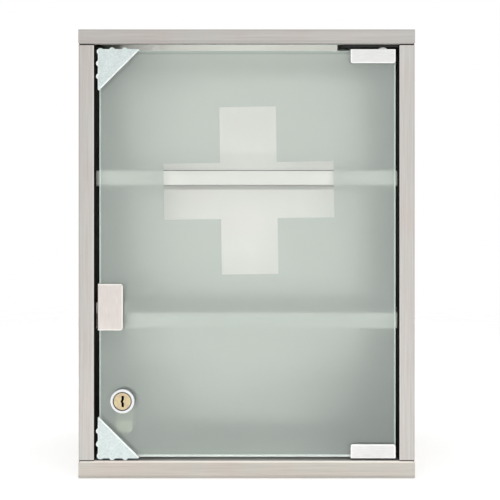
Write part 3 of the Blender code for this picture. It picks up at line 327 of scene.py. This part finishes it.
def bottom_inner(t, x, y, z):
    """Painted light and shade: paler on the return, which the gap under the door shows, and on the left of the floor,
    and dark behind the side lips.
    """
    # Painted light on the front of the return, fading to painted shade further back
    painted_return_light = t.ramp(y, FRONT + 1.5 * MM, FRONT + 6 * MM, 0.5, 0.12)
    tone = t.mix(behind(t, y, RETURN_DEPTH), painted_return_light, t.ramp(x, 20 * MM, 120 * MM, 0.28, 0.14))
    return t.maths("MULTIPLY", tone, behind_side_lip(t, x, y)), 0.25, INNER_ROUGH


def shelf_inner(t, x, y, z):
    """Painted light and shade: pale apron and rear flange, paler towards the upper apron's ends, with dark lines along
    the upper apron's folds, and darker trays.
    """
    faces = t.maths("ADD", t.maths("SUBTRACT", 1.0, behind(t, y, SHELF_FRONT)), behind(t, y, SHELF_REAR))
    ends = t.ramp(t.maths("ABSOLUTE", x), 50 * MM, 120 * MM, 0.73, 0.92, smooth=True)
    face = t.mix(t.maths("GREATER_THAN", z, 200 * MM), (0.92, 0.92, 0.92), ends)
    # Painted shade: dark lines along the upper apron's two folds
    for level, share in ((UPPER_SHELF[1] - 0.5 * MM, 0.62), (UPPER_SHELF[0] + 0.5 * MM, 0.30)):
        off = t.maths("ABSOLUTE", t.maths("SUBTRACT", z, level))
        face = t.maths("MULTIPLY", face, t.ramp(off, 0.45 * MM, 0.65 * MM, 1 - share, 1.0))
    return t.mix(faces, (0.34, 0.34, 0.34), face), 0.3, INNER_ROUGH


# Fittings


def satin_metal(name, colour, rough, along=0, streak=0.09, wear=0.0, painted_edge_highlights=None):
    """Finely brushed metal. The last argument is a node, the sides of its front that get a painted highlight beside
    the right one, and the highlight's tone."""
    mat, t = material(name)
    place = t.place()
    sizes = [0.3 * MM] * 3
    sizes[along] = 14 * MM
    lines = t.noise(place, sizes, detail=3, roughness=0.6)
    clouds = t.noise(place, 9 * MM, detail=3)
    shade = t.maths("ADD", t.ramp(lines, 0.3, 0.7, 1 - streak, 1 + streak), t.ramp(clouds, 0.3, 0.7, -0.03, 0.03))
    if painted_edge_highlights:
        node, sides, glow = painted_edge_highlights
        x, y, z = t.parts(place)
        low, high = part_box(node)
        off = t.maths("SUBTRACT", high[0], x)
        for side, a, b in (("left", x, low[0]), ("top", high[2], z), ("bottom", z, low[2])):
            if side in sides:
                off = t.maths("MINIMUM", off, t.maths("SUBTRACT", a, b))
        # Painted highlights along the front's edges
        colour = t.mix(t.ramp(off, 1.0 * MM, 1.5 * MM, 1.0, 0.0), colour, glow)
    t.principled(
        Base_Color=t.shaded(colour, shade),
        Metallic=1.0,
        Roughness=t.maths(
            "ADD", t.ramp(lines, 0.2, 0.8, rough - 0.04, rough + 0.05), t.ramp(clouds, 0.5, 0.8, 0.0, wear)
        ),
        Normal=t.bump(lines, 0.008 * MM, 0.5),
    )
    return mat


def plated(name, colour, rough, other=None, painted_dark_rings=(), keyway=False):
    """Smooth plated or turned metal with small scratches, drifting to the other colour in clouds. The dark rings are
    painted about the lock's axis, each with its inner and outer radius in mm and its tone. The keyway is dark inside
    with painted shade."""
    mat, t = material(name)
    place = t.place()
    clouds = t.noise(place, 3.5 * MM, detail=4)
    scratches = t.noise(place, (0.25 * MM, 1.0 * MM, 3.2 * MM), detail=3, roughness=0.7)
    shade = t.ramp(clouds, 0.3, 0.7, 0.95, 1.04)
    if other:
        colour = t.mix(t.ramp(clouds, 0.35, 0.65), colour, other)
    x, y, z = t.parts(place)
    across, up = t.maths("SUBTRACT", x, LOCK_MIDDLE[0]), t.maths("SUBTRACT", z, LOCK_MIDDLE[1])
    radius = t.maths("SQRT", t.maths("ADD", t.maths("MULTIPLY", across, across), t.maths("MULTIPLY", up, up)))
    # Painted dark rings: shade in the gap between plug and bezel, and a dark reflection on the bezel's outer chamfer
    for inner, outer, tone in painted_dark_rings:
        off = t.maths("ABSOLUTE", t.maths("SUBTRACT", radius, (inner + outer) / 2 * MM))
        half = (outer - inner) / 2 * MM
        shade = t.maths("MULTIPLY", shade, t.ramp(off, half - SOFT, half + SOFT, tone, 1.0))
    # Painted shade deep in the keyway
    if keyway:
        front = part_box("lock_plug")[0][1]
        deep = t.ramp(y, front + 0.4 * MM, front + 0.9 * MM)
        deep = t.maths("MULTIPLY", deep, t.maths("LESS_THAN", y, front + KEYWAY_DEPTH))
        shade = t.maths("MULTIPLY", shade, t.maths("SUBTRACT", 1.0, t.maths("MULTIPLY", deep, 0.97)))
    t.principled(
        Base_Color=t.shaded(colour, shade),
        Metallic=1.0,
        Roughness=t.maths("ADD", t.ramp(clouds, 0.3, 0.8, rough, rough + 0.06), t.ramp(scratches, 0.6, 0.8, 0.0, 0.08)),
        Normal=t.bump(scratches, 0.01 * MM, 0.3),
    )
    return mat


def moulded(name, colour, rough, grain=0.6 * MM, bump=0.02 * MM, metallic=0.0):
    """An opaque moulded or sintered material with a fine texture and slight mottling."""
    mat, t = material(name)
    place = t.place()
    fine = t.noise(place, grain, detail=3)
    clouds = t.noise(place, 7 * MM)
    shade = t.maths("ADD", t.ramp(fine, 0.3, 0.7, 0.97, 1.03), t.ramp(clouds, 0.3, 0.7, -0.03, 0.03))
    t.principled(
        Base_Color=t.shaded(colour, shade),
        Metallic=metallic,
        Roughness=t.ramp(clouds, 0.3, 0.7, rough - 0.05, rough + 0.06),
        Normal=t.bump(fine, bump, 0.6),
    )
    return mat


def in_cross(t, x, z):
    """1 in the clear cross, 0 in the frost about it."""
    across = t.maths("SUBTRACT", x, CROSS_MIDDLE[0])
    up = t.maths("SUBTRACT", z, CROSS_MIDDLE[1])
    cos, sin = math.cos(CROSS_TURN), math.sin(CROSS_TURN)
    u = t.maths("ADD", t.maths("MULTIPLY", across, cos), t.maths("MULTIPLY", up, sin))
    v = t.maths("SUBTRACT", t.maths("MULTIPLY", up, cos), t.maths("MULTIPLY", across, sin))
    u, v = t.maths("ABSOLUTE", u), t.maths("ABSOLUTE", v)
    soft = 0.12 * MM

    def within(value, limit):
        return t.ramp(value, limit + soft, limit - soft)

    upright = t.maths("MINIMUM", within(u, CROSS_ARM[0]), within(v, CROSS_REACH[1]))
    level = t.maths("MINIMUM", within(u, CROSS_REACH[0]), within(v, CROSS_ARM[1]))
    return t.maths("MAXIMUM", upright, level)


def frosted_glass():
    """The pane is smooth in front and frosted behind, except in the clear cross, and its ground edges are greener."""
    mat, t = material("frosted_door_glass")
    low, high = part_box("door_glass")
    place = t.place()
    x, y, z = t.parts(place)
    rear = t.maths("GREATER_THAN", y, (low.y + high.y) / 2)
    frost = t.maths("MULTIPLY", rear, t.maths("SUBTRACT", 1.0, in_cross(t, x, z)))

    # The ground edges, and along them a pale foot, a painted highlight, and a darker head, painted shade
    rim = 0.55 * MM
    side = t.maths("ABSOLUTE", t.maths("SUBTRACT", x, (low.x + high.x) / 2))
    height = t.maths("ABSOLUTE", t.maths("SUBTRACT", z, (low.z + high.z) / 2))
    edge = t.maths(
        "MAXIMUM",
        t.maths("GREATER_THAN", side, (high.x - low.x) / 2 - rim),
        t.maths("GREATER_THAN", height, (high.z - low.z) / 2 - rim),
    )
    foot = t.maths("LESS_THAN", z, low.z + 0.6 * MM)
    head = t.maths("GREATER_THAN", z, high.z - 2.4 * MM)

    etched = t.noise(place, 0.5 * MM, detail=3)
    clouds = t.noise(place, 45 * MM)
    rough = t.maths("MULTIPLY", frost, t.ramp(clouds, 0.3, 0.7, 0.34, 0.40))
    rough = t.maths("MAXIMUM", t.maths("ADD", rough, 0.015), t.maths("MULTIPLY", edge, 0.45))

    # The frost's green tint, with painted light at the top and painted shade at the lower right
    milky = t.mix(t.ramp(clouds, 0.3, 0.7), (0.465, 0.51, 0.48), (0.475, 0.52, 0.49))
    milky = t.shaded(milky, t.ramp(z, 335 * MM, 380 * MM, 1.0, 1.06, smooth=True))
    low_right = t.maths(
        "MULTIPLY", t.ramp(x, 20 * MM, 130 * MM, smooth=True), t.ramp(z, 160 * MM, 30 * MM, smooth=True)
    )
    milky = t.shaded(milky, t.ramp(low_right, 0.0, 1.0, 1.0, 0.76))
    base = t.mix(frost, (0.975, 0.985, 0.97), milky)
    base = t.mix(edge, base, (0.80, 0.90, 0.84))
    base = t.mix(head, base, t.shaded(base, 0.82))
    base = t.mix(foot, base, (0.84, 0.90, 0.86))

    # The share that doesn't let light through, and lamps that shine through the pane
    turbid = t.maths("MAXIMUM", t.maths("MULTIPLY", edge, 0.35), t.maths("MULTIPLY", foot, 0.75))
    turbid = t.maths("MAXIMUM", t.maths("MULTIPLY", frost, 0.48), turbid)
    glassy = t.node(
        "ShaderNodeBsdfPrincipled",
        {
            "Base Color": base,
            "Roughness": rough,
            "IOR": 1.5,
            "Transmission Weight": t.maths("SUBTRACT", 1.0, turbid),
            "Normal": t.bump(t.maths("MULTIPLY", etched, frost), 0.01 * MM, 0.4),
        },
    )
    lamps = t.node("ShaderNodeBsdfTransparent", {"Color": (0.97, 0.985, 0.975)})
    shadow = t.node("ShaderNodeLightPath", out="Is Shadow Ray")
    t.output(t.node("ShaderNodeMixShader", {0: shadow, 1: glassy, 2: lamps}))
    return mat


def milky_plastic(node, upper):
    """Translucent milky plastic with a fine sparkle, for a corner guard, with painted highlights along its slanting rim
    and bumps.
    """
    mat, t = material(node + "_plastic")
    place = t.place()
    x, y, z = t.parts(place)
    points = [v.co for v in frame["nodes"][node].data.vertices]
    if upper:
        off = t.maths("SUBTRACT", t.maths("SUBTRACT", z, x), min(p.z - p.x for p in points))
    else:
        off = t.maths("SUBTRACT", max(p.z + p.x for p in points), t.maths("ADD", z, x))
    slanting = t.ramp(off, 1.5 * MM, 2.3 * MM, 1.0, 0.0)
    outermost = min(p.x for p in points)
    bumps = t.ramp(x, outermost + 1.6 * MM, outermost + 2.4 * MM, 0.8, 0.0)
    fine = t.noise(place, 0.5 * MM, detail=4, roughness=0.7)
    sparkle = t.noise(place, 1.5 * MM, roughness=0.7)
    clouds = t.noise(place, 8 * MM)
    shade = t.maths("ADD", t.ramp(fine, 0.3, 0.7, 0.94, 1.06), t.ramp(clouds, 0.3, 0.7, -0.02, 0.02))
    shade = t.maths("ADD", shade, t.ramp(sparkle, 0.3, 0.7, -0.11, 0.11))
    # Painted highlights along the slanting rim and on the bumps
    tone = t.mix(t.maths("MAXIMUM", slanting, bumps), (0.60, 0.67, 0.66), (0.80, 0.84, 0.83))
    t.principled(
        Base_Color=t.shaded(tone, shade),
        Roughness=t.ramp(fine, 0.3, 0.7, 0.34, 0.46),
        Subsurface_Weight=0.25,
        Subsurface_Radius=(1.0, 1.1, 1.1),
        Subsurface_Scale=1.5 * MM,
        Normal=t.bump(fine, 0.03 * MM, 0.5),
    )
    return mat


# Finishes of the nodes

CLAMP_TONE = (0.82, 0.82, 0.81)
# Painted highlights along the edges of the clamps' and the handle's fronts: which sides, and their tone
CLAMP_PAINTED_HIGHLIGHTS = ("left", "top", "bottom"), (0.97, 0.97, 0.95)
HANDLE_TONE = (0.76, 0.70, 0.665)
HANDLE_PAINTED_HIGHLIGHTS = ("top", "bottom"), (0.90, 0.88, 0.83)
# Painted dark rings about the lock's axis, inner and outer radius in mm and tone: shade in the gap between plug and
# bezel, and a dark reflection on the bezel's outer chamfer
BEZEL_PAINTED_RINGS = ((7.6, 8.6, 0.35), (10.7, 11.2, 0.45))
PLUG_PAINTED_RINGS = ((7.5, 8.1, 0.35),)

zinc = plated("zinc", (0.62, 0.62, 0.60), 0.29)
black_steel = satin_metal("black_steel", (0.035, 0.035, 0.035), 0.42, wear=0.15)
pin_steel = satin_metal("pin_steel", (0.62, 0.61, 0.59), 0.33, along=2)
pad_plastic = moulded("pad_plastic", (0.55, 0.60, 0.58), 0.45)

FINISHES = (
    (
        sheet_steel("side_panel_steel", 2, side_inner, SIDE_FOLD_LIGHT_AND_SHADE, specular=0.0),
        ("left_side_panel", "right_side_panel"),
    ),
    (sheet_steel("back_panel_steel", 2, back_inner), ("back_panel",)),
    # The top panel is the same sheet painted 7 percent darker, as painted shade
    (sheet_steel("top_panel_steel", 0, top_inner, TOP_FOLD_LIGHT_AND_SHADE, tint=(0.93, 0.93, 0.93)), ("top_panel",)),
    (sheet_steel("bottom_panel_steel", 0, bottom_inner, BOTTOM_FOLD_LIGHT_AND_SHADE, tint=(1.0, 0.982, 0.945)), ("bottom_panel",)),
    (sheet_steel("shelf_steel", 0, shelf_inner), ("upper_shelf", "lower_shelf")),
    (satin_metal("screw_steel", (0.10, 0.11, 0.10), 0.42), ("upper_hinge_screw",)),
    (moulded("nylon", (0.86, 0.86, 0.82), 0.38), ("upper_hinge_bush",)),
    # The lower bush is the same nylon, painted nearly black as the shade under the lower clamp
    (moulded("nylon_painted_shade", (0.04, 0.04, 0.04), 0.45), ("lower_hinge_bush",)),
    (
        satin_metal("handle_steel", HANDLE_TONE, 0.32, along=2, painted_edge_highlights=("handle_clip", *HANDLE_PAINTED_HIGHLIGHTS)),
        ("handle_clip",),
    ),
    (frosted_glass(), ("door_glass",)),
    (milky_plastic("upper_corner_guard", True), ("upper_corner_guard",)),
    (milky_plastic("lower_corner_guard", False), ("lower_corner_guard",)),
    (plated("chrome", (0.80, 0.81, 0.82), 0.06, painted_dark_rings=BEZEL_PAINTED_RINGS), ("lock_barrel",)),
    (
        plated("brass", (0.62, 0.475, 0.333), 0.12, other=(0.66, 0.56, 0.333), painted_dark_rings=PLUG_PAINTED_RINGS, keyway=True),
        ("lock_plug",),
    ),
    (moulded("cam_metal", (0.55, 0.56, 0.42), 0.35, grain=0.4 * MM, bump=0.01 * MM, metallic=0.3), ("lock_cam",)),
    (moulded("rubber", (0.035, 0.035, 0.037), 0.65, grain=0.4 * MM), ("lock_washer",)),
    (moulded("white_plastic", (0.82, 0.81, 0.78), 0.42), ("catch_housing",)),
    (moulded("ferrite", (0.05, 0.048, 0.05), 0.55, grain=0.3 * MM), ("catch_magnet",)),
    (pin_steel, ("upper_hinge_pin", "lower_hinge_pin", "catch_pole_lower", "catch_pole_upper")),
    (pad_plastic, ("upper_hinge_pad", "lower_hinge_pad", "handle_pad")),
    (
        zinc,
        ("upper_hinge_nut", "lock_nut", "cam_washer", "cam_screw", "catch_screw_left", "catch_screw_right"),
    ),
    (
        black_steel,
        (
            "upper_hinge_bracket",
            "upper_hinge_grub_left",
            "upper_hinge_grub_right",
            "lower_hinge_grub_left",
            "lower_hinge_grub_right",
            "handle_grub_lower",
            "handle_grub_upper",
        ),
    ),
) + tuple(
    (satin_metal(n + "_steel", CLAMP_TONE, 0.33, painted_edge_highlights=(n, *CLAMP_PAINTED_HIGHLIGHTS)), (n,))
    for n in ("upper_hinge_clamp", "lower_hinge_clamp")
)

for finish, nodes in FINISHES:
    for node in nodes:
        for slot in frame["nodes"][node].material_slots:
            slot.material = finish


# Floor, light and camera


def stage():
    """A pale floor that fades into the white world away from the cabinet, keeps the cabinet's shadow, and isn't
    seen from below."""
    mat, t = material("pale_floor")
    place = t.place()
    pale = t.node(
        "ShaderNodeBsdfPrincipled",
        {
            "Base Color": t.mix(t.noise(place, 60 * MM), (0.95, 0.95, 0.95), (0.96, 0.96, 0.96)),
            "Roughness": 0.9,
            "Specular IOR Level": 0.1,
        },
    )
    path = t.node("ShaderNodeLightPath", out=None)
    seen = t.maths("MULTIPLY", path.outputs["Is Camera Ray"], FLOOR_GLOW)
    mirrored = t.maths("MULTIPLY", path.outputs["Is Glossy Ray"], FLOOR_GLOW)
    glow = t.node("ShaderNodeEmission", {"Color": (1, 1, 1), "Strength": t.maths("ADD", seen, mirrored)})
    pale = t.node("ShaderNodeAddShader", {0: pale, 1: glow})
    away = t.node("ShaderNodeVectorMath", {0: place}, out=1, operation="LENGTH")
    below = t.node("ShaderNodeNewGeometry", out="Backfacing")
    fade = t.maths("MAXIMUM", t.ramp(away, *FLOOR_FADE, smooth=True), below)
    t.output(t.node("ShaderNodeMixShader", {0: fade, 1: pale, 2: t.node("ShaderNodeBsdfTransparent")}))
    corners = [(x * FLOOR_HALF, y * FLOOR_HALF, 0) for x, y in ((-1, -1), (1, -1), (1, 1), (-1, 1))]
    mesh = bpy.data.meshes.new("floor")
    mesh.from_pydata(corners, [], [(0, 1, 2, 3)])
    mesh.materials.append(mat)
    floor = bpy.data.objects.new("floor", mesh)
    floor.location.z = -FLOOR_DROP
    bpy.context.scene.collection.objects.link(floor)


def lamp(name, place, size, power):
    """A soft lamp for matt surfaces. Metal and glass see the world instead."""
    data = bpy.data.lights.new(name, "AREA")
    data.shape = "RECTANGLE"
    data.size, data.size_y = size
    data.energy = power
    made = bpy.data.objects.new(name, data)
    made.location = place
    made.rotation_euler = (Vector(LAMPS_AIM) - Vector(place)).to_track_quat("-Z", "Y").to_euler()
    made.visible_glossy = False
    made.visible_transmission = False
    bpy.context.scene.collection.objects.link(made)


def world():
    """White to the camera, dim to matt surfaces, and to metal and glass a studio tent: bright in front, with some
    more light from above and from the sides."""
    made = bpy.data.worlds.new("studio")
    made.use_nodes = True
    t = Tree(made.node_tree)
    path = t.node("ShaderNodeLightPath", out=None)
    x, y, z = t.parts(t.node("ShaderNodeTexCoord", out="Generated"))
    front = t.ramp(y, 0.45, -0.5, 0.64, 1.0, smooth=True)
    rise = t.maths("ADD", t.ramp(z, -0.5, 0.5, 0.08, -0.08), t.ramp(z, 0.55, 0.95, 0.0, 0.35, smooth=True))
    tent = t.maths("ADD", t.maths("ADD", front, rise), t.ramp(x, -0.6, 0.6, -0.05, 0.11))
    tent = t.maths("ADD", tent, t.ramp(t.maths("ABSOLUTE", x), 0.6, 0.85, 0.0, 0.18, smooth=True))
    reflected = t.maths("MAXIMUM", path.outputs["Is Glossy Ray"], path.outputs["Is Transmission Ray"])
    strength = t.maths("ADD", AMBIENT, t.maths("MULTIPLY", reflected, t.maths("SUBTRACT", tent, AMBIENT)))
    to_white = t.maths("MULTIPLY", path.outputs["Is Camera Ray"], t.maths("SUBTRACT", 1.0, strength))
    strength = t.maths("ADD", strength, to_white)
    light = t.node("ShaderNodeBackground", {"Color": (1, 1, 1), "Strength": strength})
    t.node("ShaderNodeOutputWorld", {"Surface": light}, out=None)
    bpy.context.scene.world = made


def camera():
    data = bpy.data.cameras.new("camera")
    data.sensor_width = SENSOR
    data.lens = SENSOR * CAMERA_AWAY / PICTURE_WIDTH
    data.shift_y = (PICTURE_MIDDLE[1] - CAMERA_HEIGHT) / PICTURE_WIDTH
    data.clip_start, data.clip_end = CAMERA_CLIP
    made = bpy.data.objects.new("camera", data)
    made.location = (PICTURE_MIDDLE[0], FRONT - CAMERA_AWAY, CAMERA_HEIGHT)
    made.rotation_euler = (math.pi / 2, 0, 0)
    bpy.context.scene.collection.objects.link(made)
    bpy.context.scene.camera = made


stage()
world()
camera()
lamp("key", *KEY_LAMP)
lamp("top", *TOP_LAMP)
bpy.context.scene.view_settings.view_transform = "Standard"
